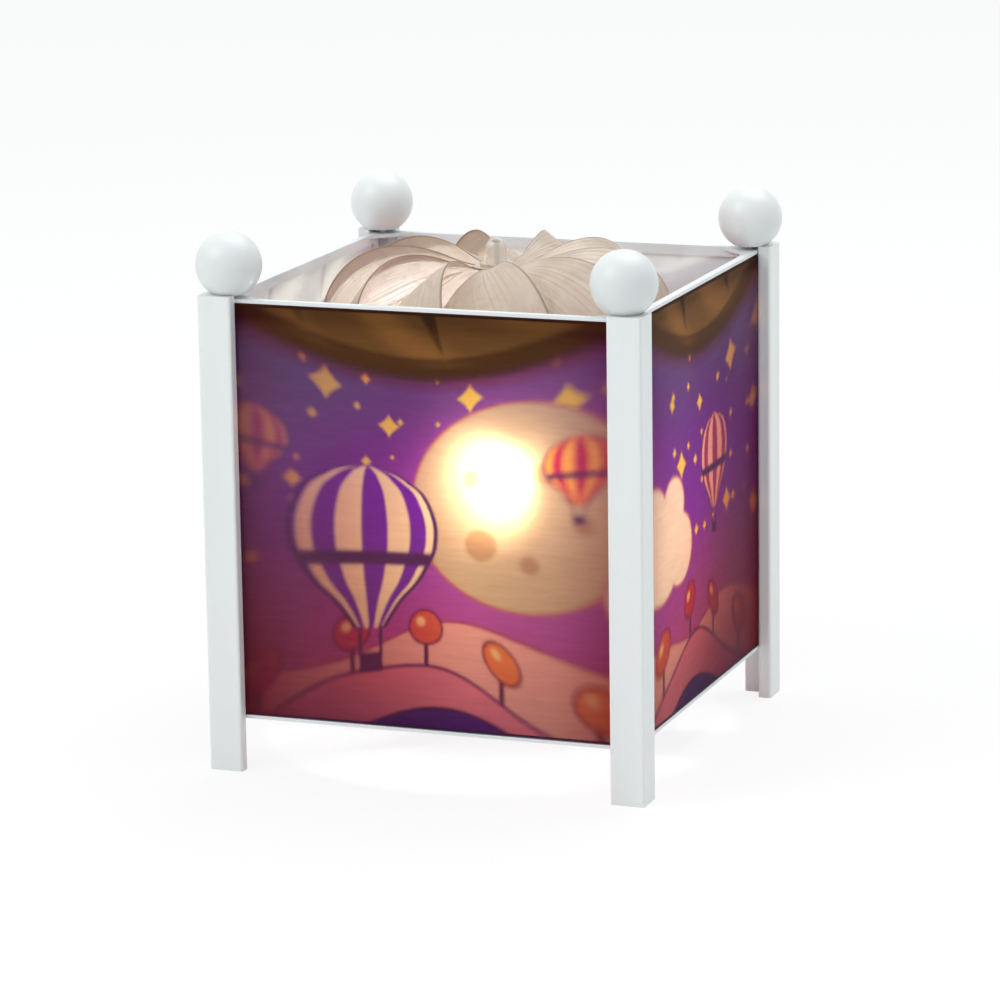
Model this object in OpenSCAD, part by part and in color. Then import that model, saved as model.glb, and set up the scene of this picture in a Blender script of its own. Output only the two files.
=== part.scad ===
// Rotating motion lamp: a square lantern, open at the top.
// Four L-section wooden posts with ball finials stand round a sheet-metal cage that holds four
// frosted panels. Inside, a picture drum with a film turbine rests on a needle above the bulb
// and turns in the rising warm air.
// Millimetres. Origin: centre of the footprint on the floor. +Z up, front towards -Y.

/* [Posts] */
// Width of the lamp across the outer faces of the posts
case_w = 160; // [150:1:190]
// Height of the posts, which are the legs too
post_h = 168; // [160:1:185]
// Width of each leg of a post's L section
post_leg = 12.3; // [11.5:0.1:13]
// Thickness of each leg of a post's L section
post_t = 4.9; // [4.5:0.1:6]
// Rounding of a post's long edges
post_round = 1; // [0.5:0.1:1.5]

/* [Ball finials] */
// Diameter of a ball
ball_d = 23; // [18:0.5:26]
// Distance of a ball's axis from the two outer faces of its post
ball_inset = 8.6; // [8.4:0.1:8.9]
// Height of the cap that is cut off a ball for its flat seat
ball_seat = 1.6; // [1:0.1:2.5]
// Depth of the screw hole in a ball, above its seat
ball_hole_deep = 9; // [6:0.5:12]

/* [Metal cage] */
// Thickness of the sheet metal
sheet_t = 1.2; // [1:0.1:1.4]
// Height of the cage's underside above the floor
foot_h = 18.2; // [16.5:0.1:24]
// Distance of the cage's top face below the tops of the posts
cage_drop = 1.4; // [0.8:0.1:3]
// Depth of the flange round each opening, lip included
flange_w = 2.6; // [2.6:0.1:4]
// Height of the lip behind the panels, flange included
lip_h = 3.7; // [3:0.1:5]
// Size of the gusset in each corner of a frame
gusset_w = 14; // [12:0.5:18]
// Width of each leg of a corner upright, from the corner
upright_leg = 8.4; // [8:0.1:9]
// Width of the part of that leg that lies on the post
upright_seat = 6.4; // [6.4:0.1:6.8]

/* [Panels] */
// Thickness of a frosted panel
panel_t = 1.2; // [1:0.1:1.2]

/* [Bridge] */
// Width of the bridge that carries the lampholder
bridge_w = 26; // [24:1:34]
// Depth of the bridge's folded edges, web included
bridge_fold = 5.2; // [3:0.1:6]
// Depth of the tabs on the bottom frame that the bridge is screwed to
tab_deep = 14; // [12:0.5:18]
// Distance of a bridge screw from the panel plane
tab_screw_in = 8.6; // [7.5:0.1:9.5]
// Distance between the two screws at each end of the bridge
tab_screw_gap = 16; // [12:1:18]
// Distance of the cord grommet from the lamp's axis
grommet_x = 44; // [42:1:48]
// Diameter of the cord that the grommet is made for
cord_d = 5; // [4:0.5:6]

/* [Lampholder] */
// Outer diameter of the hollow threaded nipple
nipple_d = 10; // [9:0.5:11]
// Bore of the nipple, for the wires
nipple_bore = 7; // [5:0.5:7.5]
// Outer diameter of the lampholder's skirt
skirt_d = 27; // [26:0.5:29]
// Height of the skirt
skirt_h = 28; // [26:0.5:30]
// Outer diameter of the lampholder's cap
holder_cap_d = 25; // [24:0.5:26]
// Height of the cap
holder_cap_h = 12; // [11:0.5:14]
// Wall of the cap and of the skirt
holder_wall = 1.8; // [1.5:0.1:2]

/* [Bulb] */
// Diameter of the bulb's globe
globe_d = 45; // [40:0.5:47]
// Height of the globe's centre above the bulb's end contact
light_h = 52.5; // [50:0.5:56]
// Diameter of the bulb's screw cap over its thread
cap_d = 13.8; // [13.6:0.1:13.9]
// Length of the filament
filament_len = 8; // [6:0.5:10]

/* [Harp and needle] */
// Diameter of the harp's wire
wire_d = 2.5; // [2:0.1:3]
// Distance of each leg of the harp from the lamp's axis
harp_u = 30; // [28:0.5:33]
// Radius of the harp's bends, on the wire's centre line
harp_bend = 15; // [10:0.5:18]
// Height of the harp's top bar above the floor
harp_h = 150; // [146:0.5:154]
// Diameter of the needle
needle_d = 1.5; // [1.2:0.1:1.7]
// Height of the needle's point above the harp's top bar
needle_up = 26.2; // [25:0.1:28]

/* [Drum] */
// Outer diameter of the picture drum
drum_d = 128; // [124:0.5:132]
// Thickness of the drum's film
film_t = 0.4; // [0.3:0.05:0.6]
// Height of the drum's lower edge above the floor
drum_low = 25; // [24:0.5:28]
// Height of the drum
drum_h = 112; // [106:0.5:113]
// Height of the hoop inside each end of the drum
hoop_h = 3; // [2:0.5:5]
// Thickness of a hoop, across its section
hoop_t = 1.15; // [0.8:0.05:1.5]

/* [Turbine] */
// Number of petals
petals = 10; // [8:1:12]
// Thickness of the petals' film
petal_t = 0.35; // [0.3:0.05:0.5]
// Radius of the flat middle of the crown, round the hub
crown_r = 20; // [16:0.5:26]
// How far each petal's leading edge stands up, and its trailing edge dips
petal_lift = 10.5; // [6:0.5:11]
// How much of that twist gathers at the middle of the petal's length
petal_gather = 1.8; // [1:0.1:2.5]
// Angle that each petal sweeps back between the drum and the hub
petal_sweep = 30; // [20:1:40]
// Angle at which the first petal stands at rest
petal_phase = 8.5; // [0:0.5:36]

/* [Bearing] */
// Diameter of the clear bullet-shaped cap that sits on the needle
bullet_d = 7.4; // [6.5:0.1:8]
// Bore of the clear cap
bullet_bore = 2.6; // [2.4:0.1:3]
// Diameter of the flange round the foot of the clear cap
bullet_flange_d = 11.8; // [11:0.1:13]

/* [Hidden] */
$fn = 64;

// Clearances
play = 0.3;          // between pieces that are slid or dropped together
snug = 0.05;         // on the radius of a screw or a pin in its hole
glue = 0.05;         // between the layers of film, hoop and turbine
cut = 1;             // how far a cutter runs on past a face

// Case
half = case_w / 2;
plane = half - post_t;                 // outer plane of the panels and of the cage
cage_top = post_h - cage_drop;
panel_room = 0.2;                      // behind a panel
lip_out = plane - panel_t - panel_room; // outer face of the lips and of the uprights' inner legs
lip_in = plane - flange_w;
upright_low = foot_h + sheet_t;
upright_high = cage_top - sheet_t;
upright_edge = plane - upright_leg;
upright_step = plane - upright_seat;   // where an upright steps back behind the panel's edge
ball_axis = half - ball_inset;
ball_z = post_h + ball_d / 2 - ball_seat;

// Screws
ball_screw_d = 2.3;
small_head_d = 3.4;
small_head_h = 1.2;
post_screw_d = 1.8;
post_screw_len = 5;
post_screw_x = (upright_step + plane) / 2;
post_screw_end = 24;                   // distance of the outer screws from the cage's frames
post_screw_stagger = 8;                // between the screws of a post's two legs
post_screw_room = 0.2;                 // between a screw's end and the end of its hole
bridge_screw_d = 2.9;
bridge_head_d = 5.5;
bridge_head_h = 2;
bridge_screw_len = 6;

// Bridge
bridge_low = foot_h + sheet_t;
bridge_top = bridge_low + sheet_t;
bridge_half = lip_in - play;
fold_half = plane - tab_deep - play;   // the folded edges stop short of the tabs
tab_half = bridge_w / 2 + 3;           // the tabs are a little wider than the bridge
bridge_screw_x = plane - tab_screw_in;
grommet_bore = cord_d + 0.2;
grommet_neck = grommet_bore + 2.6;
grommet_d = grommet_neck + 3.2;
grommet_lip = 1.3;

// Lampholder
saddle_t = 1.5;
saddle_w = 12;
saddle_top = bridge_top + saddle_t;
nut_flats = nipple_d + 4;
nut_h = 3;
nipple_tail = 2;                       // thread that shows below the nut
nipple_head = 6;                       // thread inside the cap
nipple_low = bridge_low - nut_h - nipple_tail;
nipple_high = saddle_top + nipple_head;
holder_low = saddle_top;
skirt_low = holder_low + holder_cap_h;
skirt_high = skirt_low + skirt_h;
holder_floor = 2;
core_sunk = 4;                         // the core stands this far into the cap
core_proud = 3;                        // and this far into the skirt
core_low = skirt_low - core_sunk;
core_high = skirt_low + core_proud;
contact_h = 2.2;
contact_r = 2.2;
bulb_tip = core_high + contact_h;      // underside of the bulb's end contact
shell_r = cap_d / 2 + 0.25;
shell_t = 0.4;
shell_h = 20.2;

// Bulb
light_z = bulb_tip + light_h;
bulb_tip_h = 1.2;
bulb_tip_r = 2.6;
insulator_h = 2.8;
insulator_r = cap_d / 2 - 1.2;
bulb_cap_low = bulb_tip + bulb_tip_h + insulator_h;
bulb_cap_h = 17;
bulb_cap_high = bulb_cap_low + bulb_cap_h;
bulb_cap_r = cap_d / 2 - 0.4;          // between the ridges of its thread
bulb_cap_t = 0.35;
thread_start = 2;
thread_pitch = 2.8;
thread_turns = 5;
thread_r = 0.7;
glass_t = 0.6;
neck_r = cap_d / 2 - 1;
neck_deep = 3;                         // the neck stands this far into the screw cap
neck_low = bulb_cap_high - neck_deep;
shoulder_low = bulb_cap_high + 1;
shoulder_high = light_z - globe_d * 0.36;
shoulder_r = globe_d * 0.33;
stem_r = 2;
stem_h = 18;
stem_high = neck_low + stem_h;
lead_d = 0.6;
filament_d = 0.5;

// Harp and needle
harp_turn = 45;                        // the harp stands on the lamp's diagonal
socket_d = wire_d + 2.9;
socket_h = 12;
ferrule_d = wire_d + 3.9;
ferrule_h = 7;
stud_d = 7;
stud_half = 4.5;
needle_tip_h = harp_h + needle_up;
needle_low = harp_h + wire_d / 2 + 0.5;
needle_cone = 4;
needle_point_d = 0.3;

// Drum
drum_r = drum_d / 2;
drum_high = drum_low + drum_h;
film_in = drum_r - film_t;
hoop_out = film_in - glue;
hoop_in = hoop_out - hoop_t;
seam_t = 0.25;
seam_angle = 10;
seam_at = 150;

// Turbine: a petal's middle line runs up the wall, over a quarter ellipse and in to the hub
tip_over_hub = 7.7;                    // the turbine hangs this far below the needle's point
hub_z = needle_tip_h - tip_over_hub;
band_t = 0.6;
band_out = hoop_in - glue;
wall_r = band_out - band_t / 2;
band_low = drum_high - hoop_h + play;
band_h = 5;
wall_low = drum_high - 2;
wall_high = drum_high + 1;
hub_r = 6;
hub_disc_r = 8;
hub_disc_t = 0.8;
petal_steps = 15;
petal_lanes = 6;
petal_half_min = 180 / petals - 0.2;   // half the angle of a petal at the drum and at the hub
petal_half_add = 5;                    // how much wider it is in between, where petals overlap
petal_root = 0.06;                     // share of its length that stays flat on the band
wall_len = wall_high - wall_low;
arch_w = wall_r - crown_r;
arch_h = hub_z - wall_high;
arch_len = 90 * PI / 180 * sqrt((pow(arch_w, 2) + pow(arch_h, 2)) / 2);
inner_len = crown_r - hub_r;
petal_len = wall_len + arch_len + inner_len;

// Bearing
flange_low = hub_z + hub_disc_t / 2;
bullet_flange_h = 1.2;
spigot_r = 3.4;
clamp_h = 1.4;
spigot_low = hub_z - hub_disc_t / 2 - clamp_h - snug;
barb_r = spigot_r + 0.5;
barb_h = 0.8;
clamp_out = 6.5;
cup_h = 2.5;
cup_high = needle_tip_h + 0.8;
cup_dimple_r = 1.05;
cup_dimple_h = 2.1;
bullet_top_t = 2;
bullet_top = cup_high + bullet_top_t;
bullet_notches = 8;
bullet_notch_r = 0.5;

// ---------- helpers ----------

// Turns the back-right corner's piece to corner i, counted anticlockwise from above
module at_corner(i) rotate([0, 0, 90 * i]) children();

module in_every_corner() for (i = [0:3]) at_corner(i) children();

// A rectangle with rounded corners, given by two opposite corners
module soft_rect(low, high, r) {
    size = high - low;
    translate([low.x + r, low.y]) square([size.x - 2 * r, size.y]);
    translate([low.x, low.y + r]) square([size.x, size.y - 2 * r]);
    for (x = [low.x + r, high.x - r], y = [low.y + r, high.y - r])
        translate([x, y]) circle(r = r);
}

// A cutter for a hole right through, from one height to another
module bore(d, low, high) {
    translate([0, 0, low - cut]) cylinder(d = d, h = high - low + 2 * cut);
}

module tube(r_out, r_in, h) {
    difference() {
        cylinder(r = r_out, h = h);
        bore(2 * r_in, 0, h);
    }
}

// Places children at the screws of one post, +Z into the wood, for the back-right corner
module at_post_screws() {
    for (swap = [0, 1], end = [0, 1]) {
        inset = post_screw_end + swap * post_screw_stagger;
        z = end == 0 ? upright_low + inset : upright_high - inset;
        mirror([swap, -swap, 0])
            translate([post_screw_x, plane - sheet_t, z]) rotate([-90, 0, 0]) children();
    }
}

// Places children at the bridge screws, on top of the bridge
module at_bridge_screws() {
    for (x = [-1, 1] * bridge_screw_x, y = [-0.5, 0.5] * tab_screw_gap)
        translate([x, y, bridge_top]) children();
}

// A screw with a round head; its origin is under the head and it points along +Z
module screw(d, len, head_d, head_h) {
    cylinder(d = d, h = len);
    translate([0, 0, -head_h]) cylinder(d = head_d, h = head_h);
}

// ---------- posts and balls ----------

module post_section() {
    soft_rect([half - post_leg, plane], [half, half], post_round);
    soft_rect([plane, half - post_leg], [half, half], post_round);
}

module post(i) {
    color("white") at_corner(i) difference() {
        linear_extrude(post_h) post_section();
        at_post_screws() translate([0, 0, -cut])
            cylinder(d = post_screw_d + 2 * snug, h = cut + post_screw_len + post_screw_room, $fn = 24);
    }
}

module ball(i) {
    color("white") at_corner(i) translate([ball_axis, ball_axis, 0]) difference() {
        translate([0, 0, ball_z]) sphere(d = ball_d, $fn = 96);
        translate([-ball_d, -ball_d, post_h - ball_d]) cube([2 * ball_d, 2 * ball_d, ball_d]);
        translate([0, 0, post_h - cut]) cylinder(d = ball_screw_d + 2 * snug, h = ball_hole_deep + cut);
    }
}

module ball_screws() {
    tip_room = 1;
    color("lightgrey") in_every_corner() translate([ball_axis, ball_axis, upright_high])
        screw(ball_screw_d, post_h + ball_hole_deep - tip_room - upright_high, small_head_d, small_head_h);
}

module post_screws() {
    color("lightgrey") in_every_corner() at_post_screws()
        screw(post_screw_d, post_screw_len, small_head_d, small_head_h, $fn = 24);
}

// ---------- metal cage ----------

// One frame of the cage with its outer face at z = 0 and its lips hanging down
module cage_ring() {
    lip_half = upright_edge - play;
    difference() {
        union() {
            translate([0, 0, -sheet_t]) linear_extrude(sheet_t) difference() {
                square(2 * plane, center = true);
                square(2 * lip_in, center = true);
            }
            for (side = [0:3]) rotate([0, 0, 90 * side])
                translate([-lip_half, lip_in, -lip_h])
                    cube([2 * lip_half, lip_out - lip_in, lip_h]);
            in_every_corner() translate([0, 0, -sheet_t]) linear_extrude(sheet_t)
                polygon([[plane, plane], [plane - gusset_w, plane], [plane - gusset_w, lip_in],
                         [lip_in, plane - gusset_w], [plane, plane - gusset_w]]);
        }
        in_every_corner() translate([ball_axis, ball_axis, 0])
            bore(ball_screw_d + 2 * snug, -sheet_t, 0);
    }
}

module top_frame() {
    color("whitesmoke") translate([0, 0, cage_top]) cage_ring();
}

module bottom_frame() {
    color("whitesmoke") difference() {
        union() {
            translate([0, 0, foot_h]) mirror([0, 0, 1]) cage_ring();
            for (side = [0, 1]) mirror([side, 0, 0])
                translate([plane - tab_deep, -tab_half, foot_h])
                    cube([tab_deep - flange_w / 2, 2 * tab_half, sheet_t]);
        }
        at_bridge_screws() bore(bridge_screw_d + 2 * snug, -2 * sheet_t, -sheet_t);
    }
}

// A folded corner angle that steps back behind the edges of the two panels
module upright(i) {
    p = plane;
    s = sheet_t;
    step = upright_step;
    color("whitesmoke") at_corner(i) difference() {
        translate([0, 0, upright_low]) linear_extrude(upright_high - upright_low) polygon([
            [p, p], [step, p], [step, lip_out], [upright_edge, lip_out], [upright_edge, lip_in],
            [step + s, lip_in], [step + s, p - s], [p - s, p - s],
            [p - s, step + s], [lip_in, step + s], [lip_in, upright_edge],
            [lip_out, upright_edge], [lip_out, step], [p, step]]);
        at_post_screws() bore(post_screw_d + 2 * snug, 0, sheet_t, $fn = 24);
    }
}

// ---------- panels ----------

module panel(side) {
    w = 2 * (upright_step - play);
    color([0.62, 0.42, 0.68, 0.85]) rotate([0, 0, 90 * side])
        translate([-w / 2, -plane, upright_low + play])
            cube([w, panel_t, upright_high - upright_low - 2 * play]);
}

// ---------- bridge ----------

module bridge() {
    color("silver") difference() {
        union() {
            translate([-bridge_half, -bridge_w / 2, bridge_low])
                cube([2 * bridge_half, bridge_w, sheet_t]);
            for (side = [0, 1]) mirror([0, side, 0])
                translate([-fold_half, bridge_w / 2 - sheet_t, bridge_top - bridge_fold])
                    cube([2 * fold_half, sheet_t, bridge_fold]);
        }
        bore(nipple_d + play, bridge_low, bridge_top);
        translate([grommet_x, 0, 0]) bore(grommet_neck + 2 * snug, bridge_low, bridge_top);
        at_bridge_screws() bore(bridge_screw_d + play, -sheet_t, 0);
    }
}

module bridge_screws() {
    color("silver") at_bridge_screws() mirror([0, 0, 1])
        screw(bridge_screw_d, bridge_screw_len, bridge_head_d, bridge_head_h);
}

module cord_grommet() {
    grommet_h = sheet_t + 2 * grommet_lip;
    color("dimgray") translate([grommet_x, 0, bridge_low - grommet_lip]) difference() {
        union() {
            cylinder(d = grommet_neck, h = grommet_h);
            for (z = [0, grommet_h - grommet_lip])
                translate([0, 0, z]) cylinder(d = grommet_d, h = grommet_lip);
        }
        bore(grommet_bore, 0, grommet_h);
    }
}

// ---------- lampholder ----------

module holder_nipple() {
    color("goldenrod") translate([0, 0, nipple_low])
        tube(nipple_d / 2, nipple_bore / 2, nipple_high - nipple_low);
}

module holder_nut() {
    color("goldenrod") translate([0, 0, bridge_low - nut_h]) difference() {
        cylinder(d = nut_flats / cos(30), h = nut_h, $fn = 6);
        bore(nipple_d + 2 * snug, 0, nut_h);
    }
}

// The cap's wall and floor turned round the axis; the floor is open in the middle for the nipple
module holder_cap() {
    r = holder_cap_d / 2;
    flare = 3;                             // the cap widens by this above its floor
    flare_h = 4;
    hole_r = nipple_d / 2 + snug;
    color("ivory") translate([0, 0, holder_low]) rotate_extrude() polygon([
        [hole_r, 0], [r - flare, 0], [r, flare_h], [r, holder_cap_h],
        [r - holder_wall, holder_cap_h], [r - holder_wall, flare_h + holder_floor / 2],
        [r - holder_wall - flare / 2, holder_floor], [hole_r, holder_floor]]);
}

// The insulator that carries the contacts; wires pass through its two holes
module holder_core() {
    core_r = holder_cap_d / 2 - holder_wall - 0.2;
    wire_hole_d = 2;
    wire_hole_at = 8.8;
    color("ivory") difference() {
        translate([0, 0, core_low]) cylinder(r = core_r, h = core_high - core_low);
        for (x = [-1, 1] * wire_hole_at) translate([x, 0, 0]) bore(wire_hole_d, core_low, core_high);
    }
}

module holder_skirt() {
    r = skirt_d / 2;
    bevel = 1;
    mouth_r = shell_r + shell_t + 1.6;
    color("ivory") translate([0, 0, skirt_low]) rotate_extrude() polygon([
        [r - holder_wall, 0], [r, 0], [r, skirt_h - bevel], [r - bevel, skirt_h], [mouth_r, skirt_h],
        [mouth_r, skirt_h - holder_wall], [r - holder_wall, skirt_h - holder_wall]]);
}

module screw_shell() {
    color("gold") translate([0, 0, core_high]) tube(shell_r + shell_t, shell_r, shell_h);
}

module centre_contact() {
    color("gold") translate([0, 0, core_high]) cylinder(r = contact_r, h = contact_h);
}

// ---------- bulb ----------

module bulb_cap() {
    color("silver") translate([0, 0, bulb_cap_low]) difference() {
        union() {
            cylinder(r = bulb_cap_r, h = bulb_cap_h);
            for (i = [0:thread_turns - 1])
                translate([0, 0, thread_start + i * thread_pitch]) rotate_extrude()
                    translate([cap_d / 2 - thread_r, 0]) circle(r = thread_r, $fn = 24);
        }
        translate([0, 0, bulb_cap_t]) cylinder(r = bulb_cap_r - bulb_cap_t, h = bulb_cap_h);
    }
}

module bulb_contact() {
    color("dimgray") {
        translate([0, 0, bulb_tip]) cylinder(r1 = bulb_tip_r * 0.75, r2 = bulb_tip_r, h = bulb_tip_h);
        translate([0, 0, bulb_tip + bulb_tip_h])
            cylinder(r1 = bulb_tip_r + 0.6, r2 = insulator_r, h = insulator_h);
    }
}

// Outline of the bulb's glass, drawn in by "inset" for its inner face
module globe_outline(inset) {
    intersection() {
        union() {
            translate([0, light_z]) circle(d = globe_d - 2 * inset, $fn = 96);
            polygon([[0, neck_low - inset], [neck_r - inset, neck_low - inset],
                     [neck_r - inset, shoulder_low], [shoulder_r - inset, shoulder_high],
                     [0, shoulder_high]]);
        }
        translate([0, neck_low - cut]) square([globe_d, light_z + globe_d - neck_low]);
    }
}

module bulb_glass() {
    color([0.95, 0.95, 0.9, 0.4]) difference() {
        rotate_extrude() globe_outline(0);
        rotate_extrude() globe_outline(glass_t);
    }
}

// Glass foot of the bulb's inside, sealed to the neck
module bulb_stem() {
    flare_h = 2;
    color([0.9, 0.92, 0.9, 0.5]) {
        translate([0, 0, neck_low]) cylinder(r1 = neck_r - glass_t - snug, r2 = stem_r, h = flare_h);
        translate([0, 0, neck_low + flare_h]) cylinder(r = stem_r, h = stem_high - neck_low - flare_h);
    }
}

// The two wires that carry the filament: out of the stem's sides, then up to its ends
module bulb_leads() {
    color("silver") for (side = [0, 1]) mirror([side, 0, 0]) {
        foot = stem_high - 2 * lead_d;
        translate([stem_r, 0, foot]) rotate([0, 90, 0])
            cylinder(d = lead_d, h = filament_len / 2 - stem_r + lead_d / 2, $fn = 16);
        translate([filament_len / 2, 0, foot]) cylinder(d = lead_d, h = light_z - foot, $fn = 16);
    }
}

module bulb_filament() {
    color("orange") translate([-filament_len / 2 - lead_d / 2, 0, light_z + filament_d / 2])
        rotate([0, 90, 0]) cylinder(d = filament_d, h = filament_len + lead_d, $fn = 16);
}

// ---------- harp and needle ----------

module harp_saddle() {
    color("silver") rotate([0, 0, harp_turn]) difference() {
        union() {
            translate([0, 0, bridge_top]) linear_extrude(saddle_t) {
                square([2 * harp_u, saddle_w], center = true);
                for (u = [-1, 1] * harp_u) translate([u, 0]) circle(d = saddle_w);
            }
            for (u = [-1, 1] * harp_u) translate([u, 0, saddle_top]) cylinder(d = socket_d, h = socket_h);
        }
        for (u = [-1, 1] * harp_u)
            translate([u, 0, saddle_top]) cylinder(d = wire_d + 2 * snug, h = socket_h + cut);
        bore(nipple_d + play, bridge_top, saddle_top);
    }
}

// Half of the bent wire: a leg, a quarter bend and half of the top bar
module harp_half() {
    translate([harp_u, 0, saddle_top]) cylinder(d = wire_d, h = harp_h - harp_bend - saddle_top, $fn = 32);
    translate([harp_u - harp_bend, 0, harp_h - harp_bend]) rotate([90, 0, 0])
        rotate_extrude(angle = 90) translate([harp_bend, 0]) circle(d = wire_d, $fn = 32);
    translate([0, 0, harp_h]) rotate([0, 90, 0]) cylinder(d = wire_d, h = harp_u - harp_bend, $fn = 32);
}

module harp() {
    color("silver") rotate([0, 0, harp_turn]) for (side = [0, 1]) mirror([side, 0, 0]) harp_half();
}

module harp_ferrules() {
    color("silver") rotate([0, 0, harp_turn]) for (u = [-1, 1] * harp_u)
        translate([u, 0, saddle_top + socket_h]) tube(ferrule_d / 2, wire_d / 2 + snug, ferrule_h);
}

module needle_stud() {
    color("goldenrod") rotate([0, 0, harp_turn]) difference() {
        translate([0, 0, harp_h - stud_half]) cylinder(d = stud_d, h = 2 * stud_half);
        translate([-stud_d, 0, harp_h]) rotate([0, 90, 0])
            cylinder(d = wire_d + 2 * snug, h = 2 * stud_d, $fn = 32);
        translate([0, 0, needle_low]) cylinder(d = needle_d + 2 * snug, h = stud_half, $fn = 32);
    }
}

module needle() {
    color("silver") {
        cone_low = needle_tip_h - needle_cone;
        translate([0, 0, needle_low]) cylinder(d = needle_d, h = cone_low - needle_low, $fn = 32);
        translate([0, 0, cone_low])
            cylinder(d1 = needle_d, d2 = needle_point_d, h = needle_cone, $fn = 32);
    }
}

// ---------- drum ----------

module drum_film() {
    color([0.5, 0.25, 0.62, 0.8]) translate([0, 0, drum_low]) rotate_extrude($fn = 180)
        translate([film_in, 0]) square([film_t, drum_h]);
}

module hoop(z) {
    translate([0, 0, z]) rotate_extrude($fn = 180) translate([hoop_in, 0]) square([hoop_t, hoop_h]);
}

module drum_top_hoop() { color("antiquewhite") hoop(drum_high - hoop_h); }

module drum_bottom_hoop() { color("antiquewhite") hoop(drum_low); }

// The strip that joins the two ends of the film, on its inner face
module drum_seam() {
    color("antiquewhite") translate([0, 0, drum_low + hoop_h + play]) rotate([0, 0, seam_at])
        rotate_extrude(angle = seam_angle, $fn = 180) translate([hoop_out - seam_t, 0])
            square([seam_t, drum_h - 2 * hoop_h - 2 * play]);
}

// ---------- turbine ----------

// Point of a petal's middle line, as [radius, height], at distance s from its lower end
function petal_line(s) =
    s < wall_len ? [wall_r, wall_low + s]
    : s < wall_len + arch_len
        ? let (a = 90 * (s - wall_len) / arch_len)
            [crown_r + arch_w * cos(a), wall_high + arch_h * sin(a)]
        : let (q = (s - wall_len - arch_len) / inner_len)
            [crown_r + (hub_r - crown_r) * q, hub_z];

// Outward normal of that line, in the same [radius, height] plane
function petal_normal(s) =
    let (step = 0.5, d = petal_line(s + step) - petal_line(s - step))
    [d.y, -d.x] / norm(d);

// Point of petal k's surface: t runs from the drum (0) to the hub (1) and lane across the petal
// (-1 trailing edge, 1 leading edge); side is 1 on the outer face and -1 on the inner face
function petal_point(k, t, lane, side) =
    let (line = petal_line(t * petal_len), normal = petal_normal(t * petal_len),
         swell = t < petal_root ? 0 : sin(180 * (t - petal_root) / (1 - petal_root)),
         out = petal_lift * pow(swell, petal_gather) * lane + side * petal_t / 2,
         r = line.x + normal.x * out,
         z = line.y + normal.y * out,
         a = petal_phase + 360 / petals * k - petal_sweep * t
             + lane * (petal_half_min + petal_half_add * swell))
    [r * cos(a), r * sin(a), z];

module petal(k) {
    rows = petal_steps + 1;
    cols = petal_lanes + 1;
    count = rows * cols;
    points = [for (side = [1, -1], i = [0:petal_steps], j = [0:petal_lanes])
        petal_point(k, i / petal_steps, -1 + 2 * j / petal_lanes, side)];
    outer = [for (i = [0:petal_steps - 1], j = [0:petal_lanes - 1])
        let (a = i * cols + j) each [[a, a + cols, a + 1], [a + 1, a + cols, a + cols + 1]]];
    inner = [for (f = outer) [f[0], f[2], f[1]] + [count, count, count]];
    rim = concat([for (j = [0:petal_lanes]) j],
                 [for (i = [1:petal_steps]) i * cols + petal_lanes],
                 [for (j = [petal_lanes - 1:-1:0]) petal_steps * cols + j],
                 [for (i = [petal_steps - 1:-1:1]) i * cols]);
    edge = [for (n = [0:len(rim) - 1])
        let (a = rim[n], b = rim[(n + 1) % len(rim)]) each [[a, b, a + count], [b, b + count, a + count]]];
    polyhedron(points, concat(outer, inner, edge));
}

module turbine() {
    color("antiquewhite") {
        for (k = [0:petals - 1]) petal(k);
        translate([0, 0, band_low]) rotate_extrude($fn = 120)
            translate([band_out - band_t, 0]) square([band_t, band_h]);
        translate([0, 0, hub_z - hub_disc_t / 2]) tube(hub_disc_r, spigot_r + snug, hub_disc_t);
    }
}

module turbine_clamp() {
    color("ivory") translate([0, 0, hub_z - hub_disc_t / 2 - clamp_h])
        tube(clamp_out, spigot_r + snug, clamp_h);
}

// ---------- bearing ----------

module bearing_cap() {
    r = bullet_d / 2;
    color([0.93, 0.9, 0.84, 0.5]) difference() {
        union() {
            translate([0, 0, bullet_top - r]) sphere(r = r);
            translate([0, 0, flange_low]) cylinder(r = r, h = bullet_top - r - flange_low);
            translate([0, 0, flange_low]) cylinder(d = bullet_flange_d, h = bullet_flange_h);
            translate([0, 0, spigot_low]) cylinder(r = spigot_r, h = flange_low - spigot_low);
            translate([0, 0, spigot_low - barb_h]) cylinder(r1 = spigot_r, r2 = barb_r, h = barb_h);
        }
        translate([0, 0, spigot_low - barb_h - cut])
            cylinder(d = bullet_bore, h = cup_high - spigot_low + barb_h + cut);
        for (i = [0:bullet_notches - 1]) rotate([0, 0, 360 / bullet_notches * i])
            translate([bullet_flange_d / 2, 0, flange_low])
                bore(2 * bullet_notch_r, 0, bullet_flange_h, $fn = 24);
    }
}

module bearing_cup() {
    color("goldenrod") translate([0, 0, cup_high - cup_h]) difference() {
        cylinder(r = bullet_bore / 2 - snug, h = cup_h);
        cylinder(r1 = cup_dimple_r, r2 = 0, h = cup_dimple_h);
    }
}

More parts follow.
